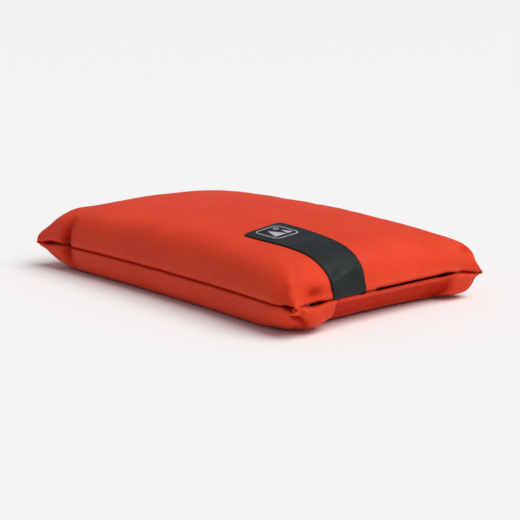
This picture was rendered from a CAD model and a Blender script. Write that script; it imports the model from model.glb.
"""Looks of the compact foam pad: its cover, seams, band and filling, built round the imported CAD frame.

Shapes are worked out in millimetres on numpy grids and become meshes in metres at the end.
"""
import math

import bpy
import numpy as np
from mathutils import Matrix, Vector, noise


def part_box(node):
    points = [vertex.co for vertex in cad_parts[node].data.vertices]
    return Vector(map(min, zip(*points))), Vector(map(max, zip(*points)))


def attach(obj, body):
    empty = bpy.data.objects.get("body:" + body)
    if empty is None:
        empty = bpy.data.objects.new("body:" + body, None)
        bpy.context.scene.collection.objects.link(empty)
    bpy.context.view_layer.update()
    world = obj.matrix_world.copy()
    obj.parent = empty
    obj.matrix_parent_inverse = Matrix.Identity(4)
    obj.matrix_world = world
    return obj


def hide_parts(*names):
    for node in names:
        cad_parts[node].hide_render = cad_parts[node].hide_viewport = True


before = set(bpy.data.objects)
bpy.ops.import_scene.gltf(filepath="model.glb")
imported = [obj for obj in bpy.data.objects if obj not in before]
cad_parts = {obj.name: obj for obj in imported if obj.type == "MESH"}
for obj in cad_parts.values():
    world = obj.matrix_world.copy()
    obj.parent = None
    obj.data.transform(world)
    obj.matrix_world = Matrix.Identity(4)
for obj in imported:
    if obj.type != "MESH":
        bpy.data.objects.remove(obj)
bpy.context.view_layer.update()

MM = 0.001
join = np.concatenate

# ---- sizes, from the frame


def box_mm(node):
    """A CAD node's lowest and highest corner, in millimetres."""
    low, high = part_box(node)
    return np.array(low) / MM, np.array(high) / MM


top_low, top_high = box_mm("top_panel")
foam_low, foam_high = box_mm("foam_core")
slider_low = box_mm("zip_slider")[0]
facing_low, facing_high = box_mm("zip_facing_upper")

HALF_L, HALF_W, SEAM_Z = top_high[0], top_high[1], top_low[2]
RISE = top_high[2] - SEAM_Z
SLIT_START, SLIT_END = facing_low[1], facing_high[1]

# Form of the filled cover, as in the CAD model
BLOCK, ROUNDNESS = 10.9, 0.363
CROWN_FALL = 0.18
END_BOW, END_BOW_POWER = 9.0, 6
FLANK_BOW, FLANK_BOW_POWER = 8.0, 2
BELLY_DROP = 31.0
FABRIC_T = 0.7
GROUND_SOFT = 1.0  # height over which the cloth rounds off onto the ground

# How far each corner is filled out: 0 leaves a flat ear
CORNERS = ((1, -1), (1, 1), (-1, -1), (-1, 1))
TOP_CORNER_FILL = (0.75, 0.85, 0.0, 0.3)
BOTTOM_CORNER_FILL = (0.6, 0.95, 0.0, 0.3)
FULL_POWER = 3.5
# Where a corner begins and is complete, along the half length and the half width
CORNER_U = (0.70, 0.97)
CORNER_V = (0.60, 0.95)

FOAM_X, FOAM_Y = foam_high[0], foam_high[1]
FOAM_EDGE = 60  # the higher, the squarer its edges
FOAM_CORNER = 0.03  # part of its length by which its corners are rounded


def smoothstep(x, low, high):
    t = np.clip((x - low) / (high - low), 0, 1)
    return t * t * (3 - 2 * t)


def ramp(x, low, high, soft):
    """1 between low and high, falling to 0 over soft outside them."""
    return smoothstep(x, low - soft, low) * (1 - smoothstep(x, high, high + soft))


def bell(d, reach):
    return np.exp(-(d / reach) ** 2)


def fullness(t, edge=BLOCK):
    return np.maximum(0, 1 - np.abs(t) ** edge) ** ROUNDNESS


def foam_fullness(t):
    return fullness(t, FOAM_EDGE)


def filled(u, v, fills):
    """Height of the filled cover, from 0 at the seam to 1."""
    fu, fv = fullness(u), fullness(v)
    w = 0
    for (sx, sy), fill in zip(CORNERS, fills):
        w = w + fill * smoothstep(sx * u, *CORNER_U) * smoothstep(sy * v, *CORNER_V)
    full = np.maximum(0, 1 - ((1 - fu) ** FULL_POWER + (1 - fv) ** FULL_POWER) ** (1 / FULL_POWER))
    return (1 - w) * fu * fv + w * full


def plan_y(u, v):
    return v * (HALF_W - FLANK_BOW * (1 - np.abs(u) ** FLANK_BOW_POWER))


def surface(u, v, z):
    """Points of the cover at a height z, on its bowed outline."""
    return np.stack([u * (HALF_L - END_BOW * (1 - np.abs(v) ** END_BOW_POWER)), plan_y(u, v), z], -1)


def top_surface(u, v):
    rise = RISE * filled(u, v, TOP_CORNER_FILL) * (1 - CROWN_FALL * (u * u + v * v))
    return surface(u, v, SEAM_Z + rise)


def bottom_surface(u, v):
    z = SEAM_Z - BELLY_DROP * filled(u, v, BOTTOM_CORNER_FILL)
    return surface(u, v, GROUND_SOFT * np.logaddexp(0, z / GROUND_SOFT))


def foam_surface(u, v, side, grow=0.0):
    """The upper or lower half of the foam block."""
    reach = (foam_high[2] - SEAM_Z if side > 0 else SEAM_Z - foam_low[2]) + grow
    x = (FOAM_X + grow) * u * (1 - FOAM_CORNER * np.abs(v) ** BLOCK)
    y = (FOAM_Y + grow) * v * (1 - FOAM_CORNER * np.abs(u) ** BLOCK)
    return np.stack([x, y, SEAM_Z + side * reach * foam_fullness(u) * foam_fullness(v)], -1)


# ---- camera, light and floor

AIM = Vector((19.7, -1.2, 24.7)) * MM
AZIMUTH, ELEVATION = 0.855, 0.217
DISTANCE = 1.3011
SKY_LIGHT = 0.30  # how brightly the sky lights the pad
SKY_SEEN = 0.95  # how bright the camera sees it


def add_object(name, data, back=None):
    """An object, which looks or shines away from back where that is given."""
    made = bpy.data.objects.new(name, data)
    bpy.context.scene.collection.objects.link(made)
    if back is not None:
        made.rotation_mode = "QUATERNION"
        made.rotation_quaternion = back.to_track_quat("Z", "Y")
    return made


optics = bpy.data.cameras.new("camera")
optics.lens = 90.74
optics.sensor_width = 36
level = math.cos(ELEVATION)
from_aim = Vector((math.sin(AZIMUTH) * level, -math.cos(AZIMUTH) * level, math.sin(ELEVATION)))
camera = add_object("camera", optics, from_aim)
camera.location = AIM + from_aim * DISTANCE
bpy.context.scene.camera = camera
bpy.context.scene.view_settings.view_transform = "Standard"

world = bpy.data.worlds.new("studio")
bpy.context.scene.world = world
world.use_nodes = True
tree = world.node_tree
sky = tree.nodes["Background"]
sky.inputs["Color"].default_value = (0.92, 0.95, 1.0, 1)
strength = tree.nodes.new("ShaderNodeMapRange")
strength.inputs["To Min"].default_value = SKY_LIGHT
strength.inputs["To Max"].default_value = SKY_SEEN
tree.links.new(tree.nodes.new("ShaderNodeLightPath").outputs["Is Camera Ray"], strength.inputs["Value"])
tree.links.new(strength.outputs[0], sky.inputs["Strength"])

sun = bpy.data.lights.new("key", "SUN")
sun.energy = 2.75
sun.angle = 0.9
sun.color = (1.0, 0.985, 0.96)
add_object("key", sun, Vector((0.46, 0.26, 0.85)))

bpy.ops.mesh.primitive_plane_add(size=60, location=(0, 0, 0))
floor = bpy.context.object
floor.name = "floor"
floor_white = bpy.data.materials.new("floor_white")
floor_white.use_nodes = True
inputs = floor_white.node_tree.nodes["Principled BSDF"].inputs
inputs["Base Color"].default_value = (0.9, 0.9, 0.9, 1)
inputs["Roughness"].default_value = 0.9
inputs["Specular IOR Level"].default_value = 0.1
floor.data.materials.append(floor_white)

# ---- grids over the cover

NEAR_SEAM = (0, 0.5, 1.0, 1.6, 2.3, 3.1, 4.0, 5.0, 6.2, 7.6, 9.2, 11.0, 13.0, 15.2, 17.6, 20.0)
CELL = 2.4
COARSE_NEAR_SEAM = (0, 3.0, 7.0)
COARSE_CELL = 4.5
ARC_RISE = 0.8 * RISE  # rise over which distances along the cloth are measured


def summed(steps):
    return join([[0], np.cumsum(steps)])


def arc_along(path):
    """Distance from a path's first point to each of its points."""
    return summed(np.linalg.norm(np.diff(path, axis=0), axis=1))


def grid_rows(extent, near, cell, profile):
    """Places from -1 to 1 and their distances from the seam along the cloth: near, then every cell."""
    t = 1 - np.linspace(0, 1, 4001) ** 3
    arc = summed(np.hypot(np.diff(t * extent), np.diff(ARC_RISE * profile(t))))
    half = arc[-1]
    count = round((half - near[-1]) / cell)
    steps = join([near, np.linspace(near[-1], half, count + 1)[1:]])
    places = np.interp(steps, arc, t)
    places[-1] = 0
    return join([-places, places[-2::-1]]), join([steps, steps[-2::-1]])


def row_before(rows, places):
    """The last row before each place, and the part of the way from it to the next."""
    i = np.clip(np.searchsorted(rows, places) - 1, 0, len(rows) - 2)
    return i, np.clip((places - rows[i]) / (rows[i + 1] - rows[i]), 0, 1)


class Grid:
    """Places over a panel, with their distances along the cloth from the seam."""

    def __init__(self, near, cell, half_x=HALF_L - END_BOW, half_y=HALF_W - FLANK_BOW, profile=fullness):
        self.u_rows, self.u_arc = grid_rows(half_x, near, cell, profile)
        self.v_rows, self.v_arc = grid_rows(half_y, near, cell, profile)
        self.u, self.v = np.meshgrid(self.u_rows, self.v_rows, indexing="ij")
        self.end_gap, self.flank_gap = np.meshgrid(self.u_arc, self.v_arc, indexing="ij")
        self.seam_gap = np.minimum(self.end_gap, self.flank_gap)
        rows, columns = self.shape = self.u.shape
        self.border = join([
            np.arange(rows - 1) * columns,
            (rows - 1) * columns + np.arange(columns - 1),
            np.arange(rows - 1, 0, -1) * columns + columns - 1,
            np.arange(columns - 1, 0, -1),
        ])

    def sample(self, field, u, v):
        """A field on this grid at other places."""
        (i, a), (j, b) = row_before(self.u_rows, u), row_before(self.v_rows, v)
        if field.ndim == 3:
            a, b = a[..., None], b[..., None]
        near = field[i, j] * (1 - b) + field[i, j + 1] * b
        far = field[i + 1, j] * (1 - b) + field[i + 1, j + 1] * b
        return near * (1 - a) + far * a


fine = Grid(NEAR_SEAM, CELL)
coarse = Grid(COARSE_NEAR_SEAM, COARSE_CELL)
end_gap, flank_gap, seam_gap = fine.end_gap, fine.flank_gap, fine.seam_gap


def normals(p, outward=1):
    """Unit normals of a grid of points."""
    n = np.cross(np.gradient(p, axis=0), np.gradient(p, axis=1))
    n /= np.maximum(np.linalg.norm(n, axis=-1, keepdims=True), 1e-9)
    return outward * n


def fold(p, start, end, width, end_width):
    """Depth and shade, 0 to 1, of a valley that fades towards its end, with the cloth heaped beside it."""
    a, b = np.array(start, float), np.array(end, float)
    t = np.clip(((p - a) @ (b - a)) / ((b - a) @ (b - a)), 0, 1)
    d = np.linalg.norm(p - (a + t[..., None] * (b - a)), axis=-1)
    q = (d / (width + (end_width - width) * t)) ** 2
    fade = (1 - t) ** 0.8
    return fade * (1.25 * np.exp(-q) - 0.25 * np.exp(-q / 5)), fade * np.exp(-q / 1.6)


def dent(p, centre, radii):
    return np.exp(-(((p - np.array(centre)) / np.array(radii)) ** 2).sum(-1))


def wander(p, scale, seed):
    """Smooth noise over the points, about -1 to 1."""
    out = np.empty(p.shape[:-1])
    for k in np.ndindex(out.shape):
        out[k] = noise.noise(Vector(p[k] / scale) + Vector((seed, 0, 0)))
    return out


# ---- meshes


def grid_faces(rows, columns, flip=False):
    i, j = np.meshgrid(np.arange(rows - 1), np.arange(columns - 1), indexing="ij")
    a = (i * columns + j).ravel()
    quads = np.stack([a, a + columns, a + columns + 1, a + 1], -1)
    return quads[:, ::-1] if flip else quads


def strip_faces(a, b, flip=False):
    """Faces between two closed loops of points."""
    quads = np.stack([a, b, np.roll(b, -1), np.roll(a, -1)], -1)
    return quads[:, ::-1] if flip else quads


def joined_halves(upper, lower):
    """A body closed from two grids that share their rim: points, faces and each grid's point numbers."""
    rows, columns = upper.shape[:2]
    above = np.arange(rows * columns).reshape(rows, columns)
    below = above.copy()
    inside = below[1:-1, 1:-1]
    inside[:] = above.size + np.arange(inside.size).reshape(inside.shape)
    points = join([upper.reshape(-1, 3), lower[1:-1, 1:-1].reshape(-1, 3)])
    faces = [grid_faces(rows, columns), below.ravel()[grid_faces(rows, columns, flip=True)]]
    return points, join(faces), above, below


def add_mesh(name, points, faces, uv=None, attributes=None):
    """A smooth mesh from points in millimetres."""
    mesh = bpy.data.meshes.new(name)
    points = np.asarray(points).reshape(-1, 3) * MM
    mesh.from_pydata(points.tolist(), [], [list(map(int, f)) for f in faces])
    mesh.validate()
    if uv is not None:
        layer = mesh.uv_layers.new(name="cloth")
        corner = np.empty(len(mesh.loops), int)
        mesh.loops.foreach_get("vertex_index", corner)
        layer.data.foreach_set("uv", uv[corner].ravel())
    for key, values in (attributes or {}).items():
        mesh.attributes.new(key, "FLOAT", "POINT").data.foreach_set("value", values)
    mesh.shade_smooth()
    return add_object(name, mesh)


def thicken(piece, thickness):
    """Gives a sheet its thickness, on its inner side."""
    solid = piece.modifiers.new("thickness", "SOLIDIFY")
    solid.thickness = thickness * MM
    solid.offset = -1
    evaluated = piece.evaluated_get(bpy.context.evaluated_depsgraph_get())
    mesh = bpy.data.meshes.new_from_object(evaluated)
    piece.modifiers.clear()
    piece.data = mesh


def add_piece(name, points, faces, slot, node, thickness=None, fill=None, **cloth):
    """A piece that stands for a CAD node and moves with the pad. With a thickness it is a sheet."""
    piece = add_mesh(name, points, faces, **cloth)
    piece.data.materials.append(MATERIALS[slot])
    if thickness is not None:
        thicken(piece, thickness)
    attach(piece, "pad")
    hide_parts(node)


# ---- materials

MATERIALS = {}


class Shader:
    """Helper round a material's node tree, so that a material reads as a list of steps."""

    def __init__(self, name):
        material = bpy.data.materials.new(name)
        material.use_nodes = True
        MATERIALS[name] = material
        self.tree = material.node_tree
        self.bsdf = self.tree.nodes["Principled BSDF"]
        scaled = self.node("VectorMath", operation="SCALE")
        self.put(scaled.inputs[0], self.node("TexCoord").outputs["Object"])
        scaled.inputs["Scale"].default_value = 1 / MM
        self.place = scaled.outputs[0]  # the point in the object, in millimetres

    def node(self, kind, **settings):
        made = self.tree.nodes.new("ShaderNode" + kind)
        for key, value in settings.items():
            setattr(made, key, value)
        return made

    def put(self, socket, value):
        """A value, a colour or another node's output into an input socket."""
        if isinstance(value, bpy.types.NodeSocket):
            self.tree.links.new(value, socket)
        elif isinstance(value, tuple) and len(value) == 3 and len(socket.default_value) == 4:
            socket.default_value = (*value, 1)
        else:
            socket.default_value = value

    def math(self, operation, a, b=0.0):
        made = self.node("Math", operation=operation)
        self.put(made.inputs[0], a)
        self.put(made.inputs[1], b)
        return made.outputs[0]

    def times(self, a, b):
        return self.math("MULTIPLY", a, b)

    def plus(self, a, b):
        return self.math("ADD", a, b)

    def mix(self, factor, a, b):
        made = self.node("Mix", data_type="RGBA")
        for socket, value in ((0, factor), (6, a), (7, b)):
            self.put(made.inputs[socket], value)
        return made.outputs[2]

    def attribute(self, name):
        return self.node("Attribute", attribute_name=name).outputs["Fac"]

    def axes(self, vector):
        made = self.node("SeparateXYZ")
        self.put(made.inputs[0], vector)
        return made.outputs

    def cloth_uv(self):
        """Millimetres along the two directions of the cloth."""
        return self.axes(self.node("UVMap", uv_map="cloth").outputs["UV"])[:2]

    def noise(self, size, detail=3.0, rough=0.5, at=None):
        """Noise from 0 to 1 whose features are about size millimetres."""
        made = self.node("TexNoise")
        values = (self.place if at is None else at, 1 / size, detail, rough)
        for key, value in zip(("Vector", "Scale", "Detail", "Roughness"), values):
            self.put(made.inputs[key], value)
        return made.outputs[0]

    def span(self, value, low, high, to_low=0.0, to_high=1.0):
        made = self.node("MapRange")
        for socket, x in zip(made.inputs, (value, low, high, to_low, to_high)):
            self.put(socket, x)
        return made.outputs[0]

    def mottle(self, size, to_low=0.0, to_high=1.0, low=0.3, high=0.7, detail=3.0):
        """Patches of about size millimetres, from to_low to to_high."""
        return self.span(self.noise(size, detail), low, high, to_low, to_high)

    def ridges(self, value, pitch):
        """Rounded ridges, 0 to 1, that repeat every pitch millimetres."""
        return self.math("ABSOLUTE", self.math("SINE", self.times(value, math.pi / pitch)))

    def bump(self, height, distance, strength=1.0, normal=None):
        """Bump whose height runs from 0 to 1 over distance millimetres."""
        made = self.node("Bump")
        made.inputs["Strength"].default_value = strength
        made.inputs["Distance"].default_value = distance * MM
        self.put(made.inputs["Height"], height)
        if normal is not None:
            self.put(made.inputs["Normal"], normal)
        return made.outputs[0]

    def done(self, color, roughness, normal, **others):
        """Sets the shader's inputs, in whose names an underscore stands for a space."""
        for key, value in {"Base_Color": color, "Roughness": roughness, "Normal": normal, **others}.items():
            self.put(self.bsdf.inputs[key.replace("_", " ")], value)


def plain_weave(s, a, b, pitch):
    """Height of a plain weave, 0 to 1, from the two directions of the cloth."""
    warp = s.ridges(a, pitch)
    weft = s.ridges(b, pitch)
    waves = [s.math("SINE", s.times(along, math.pi / pitch)) for along in (a, b)]
    over = s.math("GREATER_THAN", s.times(*waves), 0.0)
    return s.plus(s.times(warp, over), s.times(weft, s.math("SUBTRACT", 1.0, over)))


def cover_material():
    """Coated plain-weave polyester: deeper and duller where it is creased, paler where it is worn."""
    s = Shader("cover_fabric")
    grain = s.noise(1.4, 2.0)
    creased = s.attribute("crease")
    color = s.mix(s.mottle(55.0, detail=2.0), (0.72, 0.046, 0.013), (0.79, 0.058, 0.017))
    color = s.mix(s.span(grain, 0.35, 0.65, 0.0, 0.25), color, (0.60, 0.030, 0.007))
    color = s.mix(s.times(creased, 0.92), color, (0.32, 0.008, 0.004))
    worn = s.times(s.attribute("worn"), s.span(grain, 0.4, 0.7, 0.0, 0.28))
    color = s.mix(worn, color, (0.86, 0.13, 0.07))
    soft = s.bump(s.noise(24.0, 3.0, 0.55), 1.0, 0.35)
    normal = s.bump(plain_weave(s, *s.cloth_uv(), 0.55), 0.07, 0.5, soft)
    sheen = s.span(creased, 0.0, 0.5, 0.05, 0.0)
    gloss = s.span(creased, 0.0, 0.5, 0.16, 0.03)
    s.done(color, s.mottle(18.0, 0.58, 0.70), normal, Sheen_Weight=sheen,
           Sheen_Roughness=0.5, Sheen_Tint=(1.0, 0.55, 0.5), Specular_IOR_Level=gloss)


def band_material():
    """Charcoal webbing with fine ribs and darker edges."""
    s = Shader("band_webbing")
    a, b = s.cloth_uv()
    height = s.plus(s.times(s.ridges(a, 0.9), 0.65), s.times(s.ridges(b, 0.6), 0.35))
    color = s.mix(s.mottle(14.0), (0.008, 0.011, 0.012), (0.016, 0.019, 0.021))
    color = s.mix(s.mottle(0.9, 0.0, 0.3, 0.4, 0.62, detail=2.0), color, (0.030, 0.034, 0.037))
    color = s.mix(s.attribute("crease"), color, (0.004, 0.004, 0.005))
    normal = s.bump(height, 0.10, 0.5, s.bump(s.noise(16.0, 2.0), 0.6, 0.4))
    s.done(color, s.mottle(9.0, 0.40, 0.54), normal, Sheen_Weight=0.01,
           Sheen_Roughness=0.5, Specular_IOR_Level=0.15)


def woven_material(name, dark, light, pitch, rough):
    """Narrow woven goods that lie along Y, such as a zip's tape."""
    s = Shader(name)
    _, y, z = s.axes(s.place)
    height = plain_weave(s, y, z, pitch)
    color = s.mix(height, dark, light)
    color = s.mix(s.mottle(11.0, 0.0, 0.4, 0.35), color, dark)
    s.done(color, s.mottle(6.0, rough, rough + 0.12), s.bump(height, 0.08, 0.6),
           Specular_IOR_Level=0.2)


def thread_material(name, dark, light):
    """Twisted sewing thread."""
    s = Shader(name)
    x, y, z = s.axes(s.place)
    twist = s.ridges(s.plus(s.plus(x, y), z), 0.45)
    s.done(s.mix(twist, dark, light), s.mottle(2.0, 0.45, 0.6), s.bump(twist, 0.05, 0.7),
           Sheen_Weight=0.1, Specular_IOR_Level=0.3)


def plastic_material(name, dark, light):
    """Moulded plastic with a fine grain and rubbed patches."""
    s = Shader(name)
    color = s.mix(s.mottle(3.0, low=0.35), dark, light)
    s.done(color, s.mottle(2.2, 0.30, 0.48), s.bump(s.noise(0.35, 2.0), 0.03, 0.4),
           Specular_IOR_Level=0.45)


def metal_material(name, tint, low, high):
    """Cast and tumbled metal: fine scratches and uneven gloss."""
    s = Shader(name)
    stretched = s.node("CombineXYZ")
    for socket, along, factor in zip(stretched.inputs, s.axes(s.place), (6.0, 0.6, 6.0)):
        s.put(socket, s.times(along, factor))
    scratches = s.noise(1.6, 4.0, at=stretched.outputs[0])
    deep = tuple(0.55 * c for c in tint)
    color = s.mix(s.mottle(2.4, 0.0, 0.6, 0.35, 0.75), tint, deep)
    s.done(color, s.span(scratches, 0.35, 0.65, low, high), s.bump(scratches, 0.03, 0.35),
           Metallic=1.0)


def foam_material():
    """Open-cell foam: pale, with small pores."""
    s = Shader("foam")
    cells = s.node("TexVoronoi")
    s.put(cells.inputs["Vector"], s.place)
    s.put(cells.inputs["Scale"], 1 / 1.3)
    pores = cells.outputs["Distance"]
    color = s.mix(s.span(pores, 0.1, 0.6), (0.52, 0.46, 0.33), (0.80, 0.75, 0.60))
    color = s.mix(s.mottle(30.0, 0.0, 0.3, 0.4), color, (0.74, 0.62, 0.38))
    s.done(color, 0.9, s.bump(pores, 0.5, 0.8), Specular_IOR_Level=0.15)


def fibre_material():
    """Loose polyester fibre: white, with clumps and strands."""
    s = Shader("fibre")
    color = s.mix(s.span(s.noise(2.2, 6.0, 0.7), 0.35, 0.65), (0.62, 0.62, 0.60), (0.90, 0.90, 0.88))
    clumps = s.bump(s.noise(7.0, 6.0, 0.7), 1.6, 0.7)
    s.done(color, 0.95, clumps, Sheen_Weight=0.3, Specular_IOR_Level=0.1)


def print_material():
    """Screen print with slightly uneven ink."""
    s = Shader("emblem_print")
    color = s.mix(s.mottle(1.1, low=0.35, high=0.6), (0.40, 0.38, 0.44), (0.54, 0.52, 0.58))
    s.done(color, s.mottle(2.0, 0.5, 0.65), s.bump(s.noise(0.6), 0.04, 0.5))


cover_material()
band_material()
woven_material("zip_tape", (0.26, 0.008, 0.005), (0.38, 0.016, 0.009), 0.5, 0.62)
woven_material("zip_facing", (0.50, 0.022, 0.008), (0.62, 0.036, 0.011), 0.55, 0.6)
thread_material("cover_thread", (0.18, 0.010, 0.006), (0.40, 0.028, 0.016))
thread_material("band_thread", (0.006, 0.006, 0.007), (0.035, 0.036, 0.040))
plastic_material("zip_plastic", (0.20, 0.007, 0.005), (0.28, 0.014, 0.009))
metal_material("slider_metal", (0.110, 0.022, 0.018), 0.34, 0.55)
metal_material("pin_steel", (0.55, 0.55, 0.56), 0.18, 0.36)
foam_material()
fibre_material()
print_material()

# ---- cloth simulation

CLOTH_SETTINGS = {
    "quality": 6, "mass": 0.25,
    "tension_stiffness": 25, "compression_stiffness": 25, "shear_stiffness": 8, "bending_stiffness": 0.3,
    "shrink_min": -0.035,  # spare length, so that the cloth puckers at the seam
    "use_pressure": True, "uniform_pressure_force": 4,
}
CLOTH_STEPS = 20
CLOTH_START = 0.985  # size of the cloth at the start, as a part of the pad's
BROAD = 14  # smoothing passes that find the broad swelling, which the foam holds back
RELIEF_CAP = 1.5
# Part of the relief that stays on the crown, how much more beside the seam, and how far that reaches
TAUT_CROWN, TAUT_SEAM, TAUT_REACH = 0.25, 0.45, 28


def smoothed(field, passes):
    for _ in range(passes):
        padded = np.pad(field, 1, mode="edge")
        beside = padded[:-2, 1:-1] + padded[2:, 1:-1] + padded[1:-1, :-2] + padded[1:-1, 2:]
        field = (beside + 4 * field) / 8
    return field


def simulate(bag):
    """Runs the cloth simulation and removes the bag. Gives its points."""
    cloth = bag.modifiers.new("cloth", "CLOTH")
    for key, value in CLOTH_SETTINGS.items():
        setattr(cloth.settings, key, value)
    cloth.settings.effector_weights.gravity = 0
    cloth.collision_settings.use_collision = False
    for step in range(1, CLOTH_STEPS + 1):
        bpy.context.scene.frame_set(step)
    evaluated = bag.evaluated_get(bpy.context.evaluated_depsgraph_get())
    moved = np.empty(len(evaluated.data.vertices) * 3)
    evaluated.data.vertices.foreach_get("co", moved)
    bpy.context.scene.frame_set(1)
    bpy.data.objects.remove(bag)
    return moved.reshape(-1, 3) / MM


def inflate_cover():
    """Inflates both panels as one bag of cloth. Gives the height of the creases in each."""
    top = top_surface(coarse.u, coarse.v)
    bottom = bottom_surface(coarse.u, coarse.v)
    points, faces, upper, lower = joined_halves(top, bottom)
    centre = np.array([0, 0, SEAM_Z])
    points = centre + CLOTH_START * (points - centre)
    moved = simulate(add_mesh("bag", points, faces)) - points
    reliefs = []
    for shape, places, outward in ((top, upper, 1), (bottom, lower, -1)):
        height = (moved[places] * normals(shape, outward)).sum(-1)
        height -= smoothed(height, BROAD)
        reliefs.append(RELIEF_CAP * np.tanh(height / RELIEF_CAP))
    return reliefs


top_relief, bottom_relief = inflate_cover()
taut = TAUT_CROWN + TAUT_SEAM * np.exp(-seam_gap / TAUT_REACH)
top_relief = taut * coarse.sample(top_relief, fine.u, fine.v)
bottom_relief = taut * coarse.sample(bottom_relief, fine.u, fine.v)

# ---- form of the cover

# The slit's opening: places in Y and gaps between the lips
SLIT_GAPS = (
    (SLIT_START - 3, 0.0), (SLIT_START + 1, 3.0), (SLIT_START + 5, 3.7), (-86, 3.7), (-80, 2.2), (-75, 0.8),
    (-36, 0.8), (-33.5, 2.6), (-28.5, 2.6), (-26, 0.8), (-15, 0.8), (-12.5, 2.9), (30, 2.6), (66, 2.6),
    (72, 3.7), (80, 3.7), (87, 2.2), (SLIT_END + 2, 0.0),
)
SLIT_PAST_END = 1.5  # how far the opening goes on past the zip's end, for the pull
LIP_PROUD, LIP_REACH = 0.8, 5.0  # how far the lips stand out, and how far onto the panels
UPPER_LIP_HANG, UPPER_LIP_BULGE = 0.9, 4.0  # how far the upper lip hangs over, and where
HELD_BY_ZIP, ZIP_REACH = 0.85, 15  # part of the waves that the zip holds flat, and how far


def slit_zone(p):
    """1 along the slit and 0 away from it."""
    return ramp(p[..., 1], SLIT_START, SLIT_END + SLIT_PAST_END, 3) * (p[..., 0] > 0.9 * FOAM_X)


def loose(p):
    """1 where the cloth is free to wave, and less over the zip."""
    return 1 - HELD_BY_ZIP * slit_zone(p) * np.exp(-(end_gap / ZIP_REACH) ** 4)


def open_slit(p, side):
    """Parts the two lips of the slit, with the upper one hanging over."""
    zone = slit_zone(p)
    near = bell(end_gap, LIP_REACH) * zone
    gap = np.interp(p[..., 1], *zip(*SLIT_GAPS), left=0, right=0)
    p[..., 2] += side * 0.5 * gap * near
    p[..., 0] += LIP_PROUD * near
    if side > 0:
        p[..., 0] += UPPER_LIP_HANG * zone * bell(end_gap - UPPER_LIP_BULGE, UPPER_LIP_BULGE)


def near_corner(p, sx, sy, reach):
    """1 at a corner tip of the pad, falling to 0 at reach."""
    d = np.hypot(p[..., 0] - sx * HALF_L, p[..., 1] - sy * HALF_W)
    return 1 - smoothstep(d, 0, reach)


# How far the fuller upper panel pushes the seam down at each corner, and how far that reaches
CORNER_SAG = ((2.2, 20), (3.8, 36), (3.0, 32), (2.4, 32))
SAG_REACH = 6  # how far from the seam


def sag_corners(p):
    for (sx, sy), (drop, reach) in zip(CORNERS, CORNER_SAG):
        p[..., 2] -= drop * near_corner(p, sx, sy, reach) * bell(seam_gap, SAG_REACH)


# How far the seam is drawn in on the long and the short sides. At the ears: how much more, from where to
# where, and over what length that fades.
GROOVE_FLANK, GROOVE_END = 2.0, 1.8
GROOVE_LEFT_EARS = (2.8, -187, -163, 6)
GROOVE_FRONT_EAR = (2.6, 182, 194, 5)
GROOVE_RIGHT_EAR = (1.6, 170, 190, 8)
GROOVE_END_FRONT = (-0.8, 102, 113, 6)
GROOVE_END_BACK = (1.8, 102, 113, 6)
GROOVE_REACH = 1.8
PUCKER_FLANK, PUCKER_END = 0.35, 0.3
TIP, TIP_SHALLOWER = 7, 0.7  # size of a corner's tip, and the part of the groove that goes there
# How far each panel parts from the other where the corners gape, given like the groove
MOUTH_LEFT = (1.0, -188, -176, 4)
MOUTH_LEFT_WIDER = (0.2, -184, -166, 6)
MOUTH_FRONT = (1.3, 184, 193, 4)
MOUTH_BACK = 0.6  # the back corner's part of the left corner's
MOUTH_END = (0.3, 103, 114, 4)
MOUTH_REACH = 5
# Shade in the seam and the slit, its reach, and the part that goes where the front lobe is pressed flat
SEAM_SHADE, SLIT_SHADE = 0.95, 0.6
SHADE_FLANK_REACH, SHADE_END_REACH = 1.5, 1.4
PRESSED_FLAT = (0.8, -119, -103, 3)


def bank(x, height, low, high, soft):
    """height between low and high, falling to 0 over soft outside them."""
    return height * ramp(x, low, high, soft)


def seam_groove(p):
    """How far the seam is drawn in, on the long and the short sides."""
    x, y = p[..., 0], p[..., 1]
    far = np.abs(y)
    right_ears = np.where(y < 0, bank(x, *GROOVE_FRONT_EAR), bank(x, *GROOVE_RIGHT_EAR))
    pucker = PUCKER_FLANK * np.sin(x / 5.5) * np.sin(x / 17.0 + 1)
    flank = GROOVE_FLANK + bank(x, *GROOVE_LEFT_EARS) + right_ears + pucker
    end = GROOVE_END + np.where(y < 0, bank(far, *GROOVE_END_FRONT), bank(far, *GROOVE_END_BACK))
    end = (end + PUCKER_END * np.sin(y / 6.0)) * (1 - slit_zone(p))
    tip = smoothstep(np.abs(x), HALF_L - TIP, HALF_L) * smoothstep(far, HALF_W - TIP, HALF_W)
    return flank * (1 - TIP_SHALLOWER * tip), end * (1 - TIP_SHALLOWER * tip)


def seam_mouth(p):
    """How far the two panels part along the seam, each way."""
    x, y = p[..., 0], p[..., 1]
    left = bank(x, *MOUTH_LEFT) + bank(x, *MOUTH_LEFT_WIDER)
    side = np.where(y < 0, left + bank(x, *MOUTH_FRONT), MOUTH_BACK * left) * (np.abs(y) > FOAM_Y)
    return side, bank(y, *MOUTH_END) * (x > FOAM_X)


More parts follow.
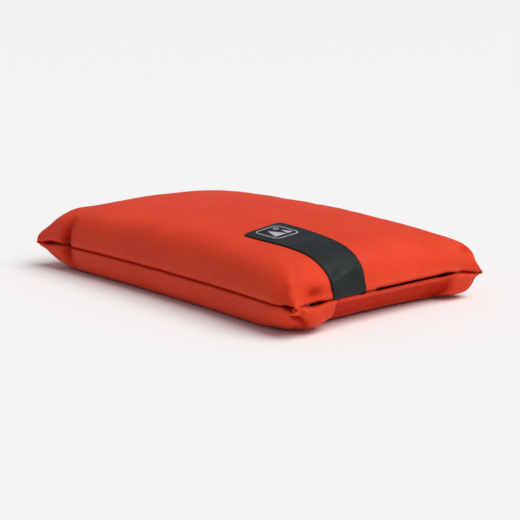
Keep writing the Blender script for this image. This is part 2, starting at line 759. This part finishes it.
def draw_in_seam(p, crease, side):
    """Draws the seam in between the two rounded panels."""
    flank, end = seam_groove(p)
    mouth_flank, mouth_end = seam_mouth(p)
    p[..., 1] -= np.sign(fine.v) * flank * np.exp(-flank_gap / GROOVE_REACH)
    p[..., 0] -= np.sign(fine.u) * end * np.exp(-end_gap / GROOVE_REACH)
    p[..., 2] += side * mouth_flank * bell(flank_gap, MOUTH_REACH)
    p[..., 2] += side * mouth_end * bell(end_gap, MOUTH_REACH)
    crease += SEAM_SHADE * bell(flank_gap, SHADE_FLANK_REACH)
    shade = np.where(end > 0.1, SEAM_SHADE, SLIT_SHADE) * bell(end_gap, SHADE_END_REACH)
    crease += shade * (1 - bank(p[..., 1], *PRESSED_FLAT) * (p[..., 0] > FOAM_X))


# Folds: start at the seam, end on the panel, width at both, depth and darkness
TOP_FOLDS = (
    ((-150, -120, 29), (-147, -106, 60), 5.5, 7.0, 7.5, 1.5),  # at the foot of the left ear
    ((-163, -120, 29), (-178, -110, 44), 3.0, 4.0, 1.8, 0.2),
    ((188, -121, 30), (172, -112, 42), 5.0, 7.0, 1.6, 0.25),  # pinch at the front corner
    ((182, 119, 30), (168, 110, 54), 5.0, 7.0, 3.0, 0.4),  # right ear
    ((-152, 121, 29), (-150, 108, 56), 8.0, 9.0, 4.0, 0.35),  # back ear
    ((-194, 90, 29), (-178, 86, 56), 8.0, 9.0, 2.8, 0.25),
    ((-194, -88, 29), (-180, -84, 54), 8.0, 9.0, 2.8, 0.25),
)
# Dents: middle, half widths, depth and darkness. A negative depth is a swelling.
TOP_DENTS = (
    ((191, -88, 36.5), (11, 9.5, 5.5), 3.4, 0.8),  # hollow beside the band's lower end
    ((188, -101, 50), (12, 13, 8), -1.6, 0),
    ((188, 109, 47.5), (6, 6, 3.5), 1.8, 0.4),
    ((187, 75, 51), (10, 9, 4), 0.8, 0.12),
    ((182, 64, 58), (12, 9, 4), 0.8, 0.1),
    ((-168, -92, 58), (16, 16, 12), -2.6, 0),  # the full shoulder behind the left ear
    ((-186, -112, 42), (14, 10, 8), 2.2, 0),
    ((150, -121, 42), (40, 9, 10), -1.0, 0),
    ((160, 75, 66), (45, 40, 16), 1.8, 0),  # the flatter far shoulder
)
BOTTOM_FOLDS = (
    ((-149, -119, 26), (-143, -108, 4), 5.5, 8.0, 4.5, 1.0),
    ((189, -112.5, 18), (182, -88, 2), 2.3, 4.0, 4.4, 1.4),  # between the front lobe and the long side
    ((186, 119, 25), (174, 108, 6), 5.0, 7.0, 3.0, 0.3),
    ((-152, 120, 26), (-146, 108, 4), 8.0, 9.0, 3.0, 0.25),
    ((-194, 92, 26), (-180, 88, 4), 8.0, 9.0, 2.2, 0.2),
    ((-194, -90, 26), (-180, -86, 4), 8.0, 9.0, 2.2, 0.2),
)
BOTTOM_DENTS = (
    ((190, -114.5, 20.5), (4.5, 4.5, 3.6), -3.2, 0),  # the rolled tip of the front corner
    ((190.5, -115.5, 20.5), (2.3, 2.3, 1.8), 3.4, 1.2),
    ((195, -100, 19), (8, 11, 6), -2.0, 0),  # the front lobe
    ((187, -84, 7), (9, 11, 8), -3.4, 0),
    ((187, 100, 9), (9, 12, 8), -2.6, 0),  # the right lobe
)
# The radius in plan to which each corner is rounded, and how far from the seam that begins. The seam's tip
# stands out of it, except at the front corner, which is folded in.
CORNER_ROUNDING = ((34, -9), (15, 1.5), (0, 1.5), (10, 1.5))


def round_corners(p):
    """Rounds the body's corners in plan, away from the seam."""
    for (sx, sy), (radius, begins) in zip(CORNERS, CORNER_ROUNDING):
        dx = sx * p[..., 0] - (HALF_L - radius)
        dy = sy * p[..., 1] - (HALF_W - radius)
        inside = (dx > 0) & (dy > 0) & (radius > 0)
        long = np.maximum(np.hypot(dx, dy), 1e-6)
        keep = np.where(inside, np.maximum(dx, dy) / long, 1)
        keep = 1 - (1 - keep) * smoothstep(seam_gap, begins, begins + 0.8 * radius + 3)
        p[..., 0] += sx * np.where(inside, dx * (keep - 1), 0)
        p[..., 1] += sy * np.where(inside, dy * (keep - 1), 0)


def folded(form, side, folds, dents):
    """A panel with every fold and dent pushed into it: its points, normals and creases."""
    p = form(fine.u, fine.v)
    round_corners(p)
    n = normals(p, side)
    move, crease = np.zeros(fine.shape), np.zeros(fine.shape)
    for start, end, width, end_width, depth, dark in folds:
        valley, shade = fold(p, start, end, width, end_width)
        move -= depth * valley
        crease += dark * shade
    for centre, radii, depth, dark in dents:
        hollow = dent(p, centre, radii)
        move -= depth * hollow
        crease += dark * hollow
    return p + n * move[..., None], n, crease


RELIEF_FROM_SEAM = 6  # how far from the seam the relief is complete
# The cloth's waves and ripples: height, length and seed, and how far from the seam ripples fade
TOP_WAVES = (0.6, 42, 3)
TOP_RIPPLES = (0.45, 12, 9)
TOP_RIPPLE_FADE = 26
BOTTOM_RIPPLES = (0.6, 15, 21)
BOTTOM_RIPPLE_FADE = 24
FRONT_TUCK, FRONT_TUCK_REACH = 4.5, 22  # how far the upper panel's front corner is tucked in, and its size


def waves(p, height, length, seed, stretch=1.0):
    """Smooth waves, which are longer in Z where stretch is below 1."""
    return height * wander(p * np.array([1, 1, stretch]), length, seed)


away = smoothstep(seam_gap, 0, RELIEF_FROM_SEAM)


def shape_top():
    p, n, crease = folded(top_surface, 1, TOP_FOLDS, TOP_DENTS)
    relief = waves(p, *TOP_WAVES) * smoothstep(seam_gap, 2, 20) + top_relief * away
    relief += np.exp(-seam_gap / TOP_RIPPLE_FADE) * waves(p, *TOP_RIPPLES, 0.35) * away
    p = p + n * (relief * loose(p))[..., None]
    draw_in_seam(p, crease, 1)
    p[..., 1] += FRONT_TUCK * near_corner(p, *CORNERS[0], FRONT_TUCK_REACH) * bell(seam_gap, 12)
    sag_corners(p)
    open_slit(p, 1)
    return p, np.clip(crease, 0, 1)


# How far the lower panel is set back under the slit, by height, and from where to where along Y
SET_BACK_HEIGHTS = (2, 8, 15, 22, 27)
SET_BACK_DEPTHS = (6.0, 5.0, 2.6, 0.9, 0.0)
SET_BACK_Y = (-63, 84, 2.5)
# How far the lobes on both sides of it stand out, and at what height
FRONT_LOBE = (3.2, -104, -66, 4)
RIGHT_LOBE = (2.8, 90, 108, 6)
LOBE_HEIGHT = (9, 25, 5)
# The shade in the set-back part, added at its right end, and along the front lobe's edge
SET_BACK_SHADE = (0.55, -60, 84, 4)
RIGHT_END_SHADE = (0.2, 62, 84, 4)
LOBE_EDGE_SHADE = 0.6
LOBE_EDGE_Y, LOBE_EDGE_HALF = -61.5, 1.8
# How far the lower edge on the zip side is off the ground, along Y
LIFT_PLACES = (-122, -108, -100, -92, -78, -66, -20, 20, 50, 70, 86)
LIFTS = (7.0, 5.0, 2.4, 0.4, 0.6, 2.6, 3.3, 3.0, 2.2, 1.0, 0.0)
LIFT_X = (132, 186)  # where that begins and is complete
LEFT_LIFT, LEFT_LIFT_REACH = 5.5, 50  # the left corner is off the ground too
ABOVE_GROUND = 0.02


def set_back(p, x, y, z, crease):
    """Sets the lower panel back under the slit, between the two lobes at its ends."""
    at_end = smoothstep(x, FOAM_X, FOAM_X + 14)
    p[..., 0] -= ramp(y, *SET_BACK_Y) * at_end * np.interp(z, SET_BACK_HEIGHTS, SET_BACK_DEPTHS)
    p[..., 0] += (bank(y, *FRONT_LOBE) + bank(y, *RIGHT_LOBE)) * ramp(z, *LOBE_HEIGHT) * at_end
    crease += LOBE_EDGE_SHADE * at_end * bell(y - LOBE_EDGE_Y, LOBE_EDGE_HALF) * smoothstep(z, 6, 12)
    crease += at_end * bank(y, *SET_BACK_SHADE) * (1 - smoothstep(z, 20, 27))
    crease += at_end * bank(y, *RIGHT_END_SHADE) * (1 - smoothstep(z, 14, 22))


def shape_bottom():
    p, n, crease = folded(bottom_surface, -1, BOTTOM_FOLDS, BOTTOM_DENTS)
    x, y, z = p[..., 0].copy(), p[..., 1].copy(), p[..., 2].copy()
    set_back(p, x, y, z, crease)
    relief = np.exp(-seam_gap / BOTTOM_RIPPLE_FADE) * waves(p, *BOTTOM_RIPPLES, 0.3) + bottom_relief
    p = p + n * (relief * away * loose(p))[..., None]
    low = 1 - smoothstep(z, 12, 25)
    p[..., 2] += np.interp(y, LIFT_PLACES, LIFTS) * smoothstep(x, *LIFT_X) * low
    p[..., 2] += LEFT_LIFT * near_corner(p, -1, -1, LEFT_LIFT_REACH) * low
    p[..., 2] = np.maximum(p[..., 2], ABOVE_GROUND)
    draw_in_seam(p, crease, -1)
    sag_corners(p)
    open_slit(p, -1)
    return p, np.clip(crease, 0, 1)


top, top_crease = shape_top()
bottom, bottom_crease = shape_bottom()

# ---- cover

# Rows of the seam allowance: how far in they lie, and what is left there of the panels' parting
ALLOWANCE = ((0.9, 0.8), (3.0, 0.25), (6.5, 0.05))
# At the slit it is folded back instead: how far in they lie, and how many of the panel's rows up
FOLDED_BACK = ((1.45, 0), (1.5, 4), (1.55, 6))
COVER_FILL = 0.85
WORN_AT, WORN_HALF = 4.0, 2.0  # the line beside the seam that wears pale


def allowance_rows(points):
    """The rows of the seam allowance round one panel."""
    row, column = np.divmod(fine.border, fine.shape[1])
    rim = points[row, column]
    zone = (slit_zone(rim) * (end_gap[row, column] == 0))[:, None]
    rows = []
    for (inset, left), (back, rows_away) in zip(ALLOWANCE, FOLDED_BACK):
        sewn = rim * np.array([1 - inset / HALF_L, 1 - inset / HALF_W, left])
        sewn += np.array([0, 0, SEAM_Z * (1 - left)])
        folded = points[np.maximum(row - rows_away, 0), column] - np.array([back, 0, 0])
        rows.append(sewn + (folded - sewn) * zone)
    return rows


def cover_panel(name, points, crease, side, node):
    """One panel, with its seam allowance turned in."""
    allowance = allowance_rows(points)
    border, count, extra = fine.border, fine.u.size, len(ALLOWANCE) * len(fine.border)
    loops = [border, *(count + np.arange(extra).reshape(len(ALLOWANCE), -1))]
    faces = [grid_faces(*fine.shape, flip=side < 0)]
    faces += [strip_faces(a, b, flip=side < 0) for a, b in zip(loops[:-1], loops[1:])]
    along, across = (summed(np.abs(np.diff(arc))) for arc in (fine.u_arc, fine.v_arc))
    uv = np.stack(np.meshgrid(along, across, indexing="ij"), -1).reshape(-1, 2)
    worn = bell(seam_gap - WORN_AT, WORN_HALF).ravel()
    points = join([points.reshape(-1, 3), *allowance])
    add_piece(
        name, points, join(faces), "cover_fabric", node, FABRIC_T, COVER_FILL,
        uv=join([uv, np.tile(uv[border], (len(ALLOWANCE), 1))]),
        attributes={"crease": join([crease.ravel(), np.ones(extra)]),
                    "worn": join([worn, np.zeros(extra)])},
    )


cover_panel("cover_top", top, top_crease, 1, "top_panel")
cover_panel("cover_bottom", bottom, bottom_crease, -1, "bottom_panel")

# ---- filling

stuffing = Grid((0, 3.0, 7.0, 12.0), 6.0)
block = Grid((0, 2.0, 5.0, 9.0), 6.0, FOAM_X, FOAM_Y, foam_fullness)
FIBRE_OUT = {1: 0.84, -1: 0.55}  # part of the way from foam to cover that fibre fills, above and below
FIBRE_OUT_RIM = 0.4
FIBRE_RIM = 0.9  # how far above or below the seam its rim lies
FIBRE_FILL, FOAM_FILL = 0.7, 1.0
FOAM_CLEAR = 0.3
ZIP_CLEAR = slider_low[0] - 0.6  # the fibre stays inside this behind the zip
BESIDE_ZIP = 10  # and this far past the zip's ends


def fibre_layer(name, cover, side, node):
    """Loose fibre between the foam and one panel."""
    u, v = stuffing.u, stuffing.v
    inner = foam_surface(u, v, side, FOAM_CLEAR)
    reach = FIBRE_OUT_RIM + (FIBRE_OUT[side] - FIBRE_OUT_RIM) * smoothstep(stuffing.seam_gap, 6, 40)
    outer = inner + (fine.sample(cover, u, v) - inner) * reach[..., None]
    behind_zip = (outer[..., 1] > SLIT_START - BESIDE_ZIP) & (outer[..., 1] < SLIT_END + BESIDE_ZIP)
    outer[..., 0] = np.where(behind_zip, np.minimum(outer[..., 0], ZIP_CLEAR), outer[..., 0])
    rim_z = SEAM_Z + side * FIBRE_RIM
    for shape in (outer, inner):
        shape[..., 2] = np.maximum(shape[..., 2], rim_z) if side > 0 else np.minimum(shape[..., 2], rim_z)
    faces = join([
        grid_faces(*stuffing.shape),
        grid_faces(*stuffing.shape, flip=True) + u.size,
        strip_faces(stuffing.border, stuffing.border + u.size),
    ])
    add_piece(name, np.stack([outer, inner]), faces[:, ::side], "fibre", node, fill=FIBRE_FILL)


fibre_layer("fibre_top", top, 1, "fibre_fill_top")
fibre_layer("fibre_bottom", bottom, -1, "fibre_fill_bottom")
halves = [foam_surface(block.u, block.v, side) for side in (1, -1)]
add_piece("foam_block", *joined_halves(*halves)[:2], "foam", "foam_core", fill=FOAM_FILL)

# ---- stitches

THREAD_R = 0.2
STITCH_SIDES = 6
# Rings along a stitch: their place, from -0.5 to 0.5, and their width
STITCH_RINGS = ((-0.5, 0.35), (-0.42, 0.9), (-0.2, 1.0), (0.2, 1.0), (0.42, 0.9), (0.5, 0.35))
STITCH_RISE = 0.8  # how far a stitch rises in its middle, in radii of its thread


def stitch_faces(base):
    """Sides and ends of a stitch whose first point is number base."""
    rings = base + np.arange(len(STITCH_RINGS) * STITCH_SIDES).reshape(-1, STITCH_SIDES)
    sides = [strip_faces(a, b, flip=True) for a, b in zip(rings[:-1], rings[1:])]
    return [*join(sides), rings[0][::-1], rings[-1]]


def stitch_mesh(starts, ends, rises, radius=THREAD_R):
    """Short rounded lengths of thread from starts to ends, that rise in the middle."""
    angles = np.linspace(0, 2 * np.pi, STITCH_SIDES, endpoint=False)
    points, faces = [], []
    for a, b, rise in zip(starts, ends, rises):
        along = (b - a) / np.linalg.norm(b - a)
        side = np.cross(along, rise / max(np.linalg.norm(rise), 1e-9))
        side /= np.linalg.norm(side)
        out = np.cross(side, along)
        faces += stitch_faces(len(points) * STITCH_SIDES)
        for place, width in STITCH_RINGS:
            middle = (a + b) / 2 + place * (b - a) + rise * (1 - (2 * place) ** 2)
            ring = np.cos(angles)[:, None] * side + np.sin(angles)[:, None] * out
            points.append(middle + radius * width * ring)
    return join(points), faces


def at_arc(t, arc, path):
    """The points at distances t along a path."""
    return np.stack([np.interp(t, arc, path[:, k]) for k in range(path.shape[1])], -1)


def stitch_rows(name, paths, pitch, length, slot, node, radius=THREAD_R):
    """Stitches along paths. A path is its points and the way out of the cloth at each."""
    starts, ends, rises = [], [], []
    for path, out in paths:
        arc = arc_along(path)
        count = int((arc[-1] - length) // pitch) + 1
        at = (arc[-1] - (count - 1) * pitch - length) / 2 + pitch * np.arange(count)
        starts.append(at_arc(at, arc, path))
        ends.append(at_arc(at + length, arc, path))
        rises.append(at_arc(at + length / 2, arc, out) * radius * STITCH_RISE)
    add_piece(name, *stitch_mesh(*map(join, (starts, ends, rises)), radius), slot, node)


SEAM_INSET, SEAM_CLOSES = 2.2, 0.45  # from the rim to the sewing, and what is left there of the parting
SEAM_STOPS = 4  # how far before the slit the sewing stops
SEAM_PITCH, SEAM_STITCH = 3.4, 2.7


def seam_paths():
    """The needle's and the bobbin's thread, which stop at the slit."""
    paths = []
    for panel, side in ((top, 1), (bottom, -1)):
        rim = panel.reshape(-1, 3)[fine.border]
        path = rim * np.array([1 - SEAM_INSET / HALF_L, 1 - SEAM_INSET / HALF_W, 1])
        path[:, 2] = SEAM_Z + SEAM_CLOSES * (rim[:, 2] - SEAM_Z) + side * (FABRIC_T + THREAD_R + 0.1)
        at_slit = (rim[:, 1] > SLIT_START - SEAM_STOPS) & (rim[:, 1] < SLIT_END + SEAM_STOPS)
        at_slit &= rim[:, 0] > 0.9 * HALF_L
        path = np.roll(path, -np.argmax(at_slit), axis=0)[at_slit.sum():]
        paths.append((path, np.tile([0.0, 0.0, side], (len(path), 1))))
    return paths


stitch_rows("seam_stitches", seam_paths(), SEAM_PITCH, SEAM_STITCH, "cover_thread", "seam_thread")

# ---- zip

# A facing's section: how far in from the slit's plane, and how far up or down from the seam
FACING_SECTION = ((1.05, 2.2), (1.3, 3.2), (1.85, 4.2), (2.4, 4.8), (3.3, 5.6), (4.05, 6.8), (4.2, 9.2))
FACING_T = 0.5
SLIT_X = facing_high[0] + 1.0  # the slit's plane


def facing(name, side, node):
    """A fabric lip from the cover's edge to the zip's tape."""
    y = np.arange(SLIT_START, SLIT_END + 1, 2.0)
    ripple = 0.12 * np.sin(y / 4.3) + 0.1 * np.sin(y / 9.1 + 1)
    rows = []
    for depth, up in FACING_SECTION:
        x = SLIT_X - depth + ripple * (0.3 if up < 5 else 0.0)
        rows.append(np.stack([x, y, SEAM_Z + side * (up + 0.5 * ripple)], -1))
    p = np.stack(rows)
    add_piece(name, p, grid_faces(*p.shape[:2], flip=side < 0), "zip_facing", node, FACING_T)


facing("facing_upper", 1, "zip_facing_upper")
facing("facing_lower", -1, "zip_facing_lower")

ZIP_STITCH_UP = 8.0  # from the seam's level
ZIP_STITCH_PITCH, ZIP_STITCH = 3.2, 2.5


def zip_stitch_path(side):
    """Along the overlap of a facing and its tape."""
    y = np.arange(SLIT_START + 2, SLIT_END - 1, 3.0)
    x = SLIT_X - FACING_SECTION[-1][0] + 0.15
    path = np.stack([np.full(len(y), x), y, np.full(len(y), SEAM_Z + side * ZIP_STITCH_UP)], -1)
    return path, np.tile([1.0, 0.0, 0.0], (len(y), 1))


for part, sign in (("upper", 1), ("lower", -1)):
    stitch_rows(f"facing_stitches_{part}", [zip_stitch_path(sign)], ZIP_STITCH_PITCH, ZIP_STITCH,
                "cover_thread", f"zip_stitches_{part}")

TACK_ROWS, TACK_PITCH = 6, 0.5
TACK_HALF = 1.6  # half the height of a bar tack
TACK_AWAY, TACK_PROUD = 3.2, 0.1  # from an end of the slit to its tack, and out of the cover


def end_tacks():
    """Bar tacks across the seam at both ends of the slit."""
    starts, ends = [], []
    at_rim = fine.shape[0] - 1
    row = at_rim - int(np.argmin(np.abs(fine.u_arc[:at_rim // 2] - TACK_HALF)))
    for y in (SLIT_START - TACK_AWAY, SLIT_END + TACK_AWAY):
        for k in range(TACK_ROWS):
            place = y + (k - (TACK_ROWS - 1) / 2) * TACK_PITCH
            column = int(np.argmin(np.abs(top[at_rim, :, 1] - place)))
            for panel, points in ((top, starts), (bottom, ends)):
                x, _, z = panel[row, column]
                points.append(np.array([x + TACK_PROUD, place, z]))
    rises = np.tile([0.05, 0.0, 0.0], (len(starts), 1))
    add_piece("slit_tacks", *stitch_mesh(starts, ends, rises), "cover_thread", "zip_end_tacks")


end_tacks()

CAD_FINISH = {
    "zip_tape_upper": "zip_tape", "zip_tape_lower": "zip_tape",
    "zip_teeth_upper": "zip_plastic", "zip_teeth_lower": "zip_plastic",
    "zip_top_stops": "zip_plastic", "zip_bottom_stop": "zip_plastic",
    "zip_slider": "slider_metal", "zip_pull": "slider_metal", "zip_slider_pin": "pin_steel",
}
ROUNDED = {"zip_slider": 0.35, "zip_pull": 0.25, "zip_top_stops": 0.2, "zip_bottom_stop": 0.2}

for node, slot in CAD_FINISH.items():
    piece = bpy.data.objects[node]
    piece.data.materials.clear()
    piece.data.materials.append(MATERIALS[slot])
    if node in ROUNDED:
        edges = piece.modifiers.new("edges", "BEVEL")
        edges.width = ROUNDED[node] * MM
        edges.segments = 2
        edges.limit_method = "ANGLE"
        edges.harden_normals = True

# ---- band

BAND_T, BAND_GAP, BAND_STEP = 0.9, 0.1, 2.0
# The band's edges in Y, by distance along the cover from the slit
BAND_DISTANCES = (0, 15, 35, 60, 100, 160)
BAND_LEFT = (-68, -69, -71.5, -74.5, -78, -79)
BAND_RIGHT = (-28, -28, -28, -27.5, -26, -25)
BAND_END_LEFT, BAND_END_RIGHT = 83.5, 76.5  # the free end's place in X at the two edges
BAND_CLIP = 3.5  # clipped off the two corners of the free end

HALF_ROWS = slice(None, fine.shape[0] // 2, -1)  # from the slit to the middle
RIM_TO_MIDDLE_U = fine.u_rows[HALF_ROWS]
RIM_TO_MIDDLE_ARC = fine.u_arc[HALF_ROWS]
top_normal = normals(top)


def on_cover(distance, y, lift):
    """A point above the upper panel, by distance along it from the slit and by Y."""
    u = np.interp(distance, RIM_TO_MIDDLE_ARC, RIM_TO_MIDDLE_U)
    v = y / plan_y(u, 1)
    return fine.sample(top, u, v) + np.asarray(lift)[..., None] * fine.sample(top_normal, u, v)


def distance_of(x):
    """Distance along the cover from the slit to a place in X."""
    return np.interp(-x / (HALF_L - END_BOW), -RIM_TO_MIDDLE_U, RIM_TO_MIDDLE_ARC)


end_left, end_right = distance_of(BAND_END_LEFT), distance_of(BAND_END_RIGHT)


def band_place(t, w):
    """Distance and Y at parts t of the band's length and w of its width."""
    distance = t * (end_left + (end_right - end_left) * w)
    left = np.interp(distance, BAND_DISTANCES, BAND_LEFT)
    right = np.interp(distance, BAND_DISTANCES, BAND_RIGHT)
    to_end = (1 - t) * end_left
    clip = BAND_CLIP * np.clip(1 - to_end / BAND_CLIP, 0, 1)
    return distance, left + clip + (right - left - 2 * clip) * w


def on_band(t, w, lift=0.0):
    distance, y = band_place(t, w)
    return on_cover(distance, y, BAND_GAP + BAND_T + lift + band_kink(distance, y))


def band_kink(distance, y):
    """The slack band stands off the cover in a slanting kink near the slit."""
    line = distance - 17 - 0.35 * (y + 55)
    return (1.5 * bell(line, 3.2) + 0.6 * bell(line - 14, 6)) * ramp(y, -64, -40, 9)


def webbing():
    rows = int(end_left / BAND_STEP) + 1
    t = join([np.linspace(0, 1 - 4 / end_left, rows), 1 - np.linspace(3, 0, 4) / end_left])
    w = join([[0, 0.012, 0.03], np.linspace(0.06, 0.94, 19), [0.97, 0.988, 1]])
    tt, ww = np.meshgrid(t, w, indexing="ij")
    face = on_band(tt, ww)
    distance, y = band_place(tt, ww)
    from_edge = np.minimum(np.minimum(ww, 1 - ww) * (BAND_RIGHT[0] - BAND_LEFT[0]), (1 - tt) * end_left)
    dark = np.clip(1.2 - from_edge / 1.1, 0, 1)
    face = join([face[:1] + np.array([-1.2, 0, -0.4]), face])  # tucked in at the slit
    distance = join([distance[:1] - 1.2, distance])
    y, dark = join([y[:1], y]), join([dark[:1], dark])
    add_piece(
        "band", face, grid_faces(*face.shape[:2], flip=True), "band_webbing", "webbing_band", BAND_T,
        uv=np.stack([distance, y], -1).reshape(-1, 2), attributes={"crease": dark.ravel()},
    )


webbing()


def on_band_path(t, w):
    """A path over the band, with the way out of it."""
    t, w = np.broadcast_arrays(t, w)
    path = on_band(t, w, 0.02)
    return path, on_band(t, w, 1.02) - path


BAND_STITCH_IN = 1.9 / 50  # part of the width between an edge and its row of stitches
along_band = np.linspace(0.03, 1 - 3.5 / end_left, 120)
band_paths = [on_band_path(along_band, w) for w in (BAND_STITCH_IN, 1 - BAND_STITCH_IN)]
band_paths.append(on_band_path(1 - 2.2 / end_left, np.linspace(0.07, 0.93, 40)))
stitch_rows("band_thread_rows", band_paths, 3.0, 2.3, "band_thread", "band_stitches", 0.16)

# ---- emblem

EMBLEM = 31.0  # side of the emblem's frame
EMBLEM_FROM_END = 5.5
EMBLEM_T = 0.12


def round_square(size, radius, corner_steps=6):
    """A closed square with round corners about the middle of the emblem."""
    points = []
    for turn in range(4):
        cx, cy = ((1, 1), (-1, 1), (-1, -1), (1, -1))[turn]
        for k in range(corner_steps + 1):
            angle = math.pi / 2 * (turn + k / corner_steps)
            points.append(((size / 2 - radius) * cx + radius * math.cos(angle),
                           (size / 2 - radius) * cy + radius * math.sin(angle)))
    return points + points[:1]


def ring(cx, cy, radius, steps=20):
    angles = [2 * math.pi * k / steps for k in range(steps + 1)]
    return [(cx + radius * math.cos(a), cy + radius * math.sin(a)) for a in angles]


# The emblem's frame and sun, as lines with a width, and its two peaks, as the ends of the foot, the top and
# the part of the height that is filled
EMBLEM_LINES = ((round_square(EMBLEM, 5.0), 1.3), (ring(7.5, 8.6, 2.3), 1.6))
EMBLEM_PEAKS = (
    ((-12.3, -9.5), (3.2, -9.5), (-4.4, 8.0), 0.97),
    ((4.6, -9.5), (12.6, -9.5), (7.8, 1.5), 0.95),
)
PEAK_ROWS, PEAK_COLUMNS = 16, 9


def ribbon(line, width, step=1.0):
    """A flat strip along a line, as rows of its two edges."""
    line = np.array(line, float)
    arc = arc_along(line)
    at = np.unique(join([np.linspace(0, arc[-1], max(2, round(arc[-1] / step))), arc]))
    points = at_arc(at, arc, line)
    way = np.gradient(points, axis=0)
    way /= np.linalg.norm(way, axis=1, keepdims=True)
    side = np.stack([-way[:, 1], way[:, 0]], -1) * width / 2
    return points - side, points + side


def peak(left, right, top_point, part):
    """Rows of points that fill a peak from its foot towards its top."""
    up = np.linspace(0, part, PEAK_ROWS)[:, None, None]
    across = np.linspace(0, 1, PEAK_COLUMNS)[None, :, None]
    foot = np.array(left) * (1 - across) + np.array(right) * across
    return foot * (1 - up) + np.array(top_point) * up


def emblem():
    """Every shape laid on the band, up towards the band's free end."""
    shapes = [np.stack(ribbon(line, width), 1) for line, width in EMBLEM_LINES]
    shapes += [peak(*corners) for corners in EMBLEM_PEAKS]
    middle = end_left - EMBLEM_FROM_END - EMBLEM / 2
    width = BAND_RIGHT[-1] - BAND_LEFT[-1]
    points, faces, count = [], [], 0
    for shape in shapes:
        t = (middle + shape[..., 1]) / end_left
        w = 0.5 + shape[..., 0] / width
        placed = on_band(t, w, EMBLEM_T + 0.03)
        outward = np.cross(placed[1, 0] - placed[0, 0], placed[0, 1] - placed[0, 0])[2] > 0
        points.append(placed.reshape(-1, 3))
        faces.append(grid_faces(*shape.shape[:2], flip=not outward) + count)
        count += shape.shape[0] * shape.shape[1]
    points, faces = join(points), join(faces)
    add_piece("emblem", points, faces, "emblem_print", "band_emblem", EMBLEM_T)


emblem()
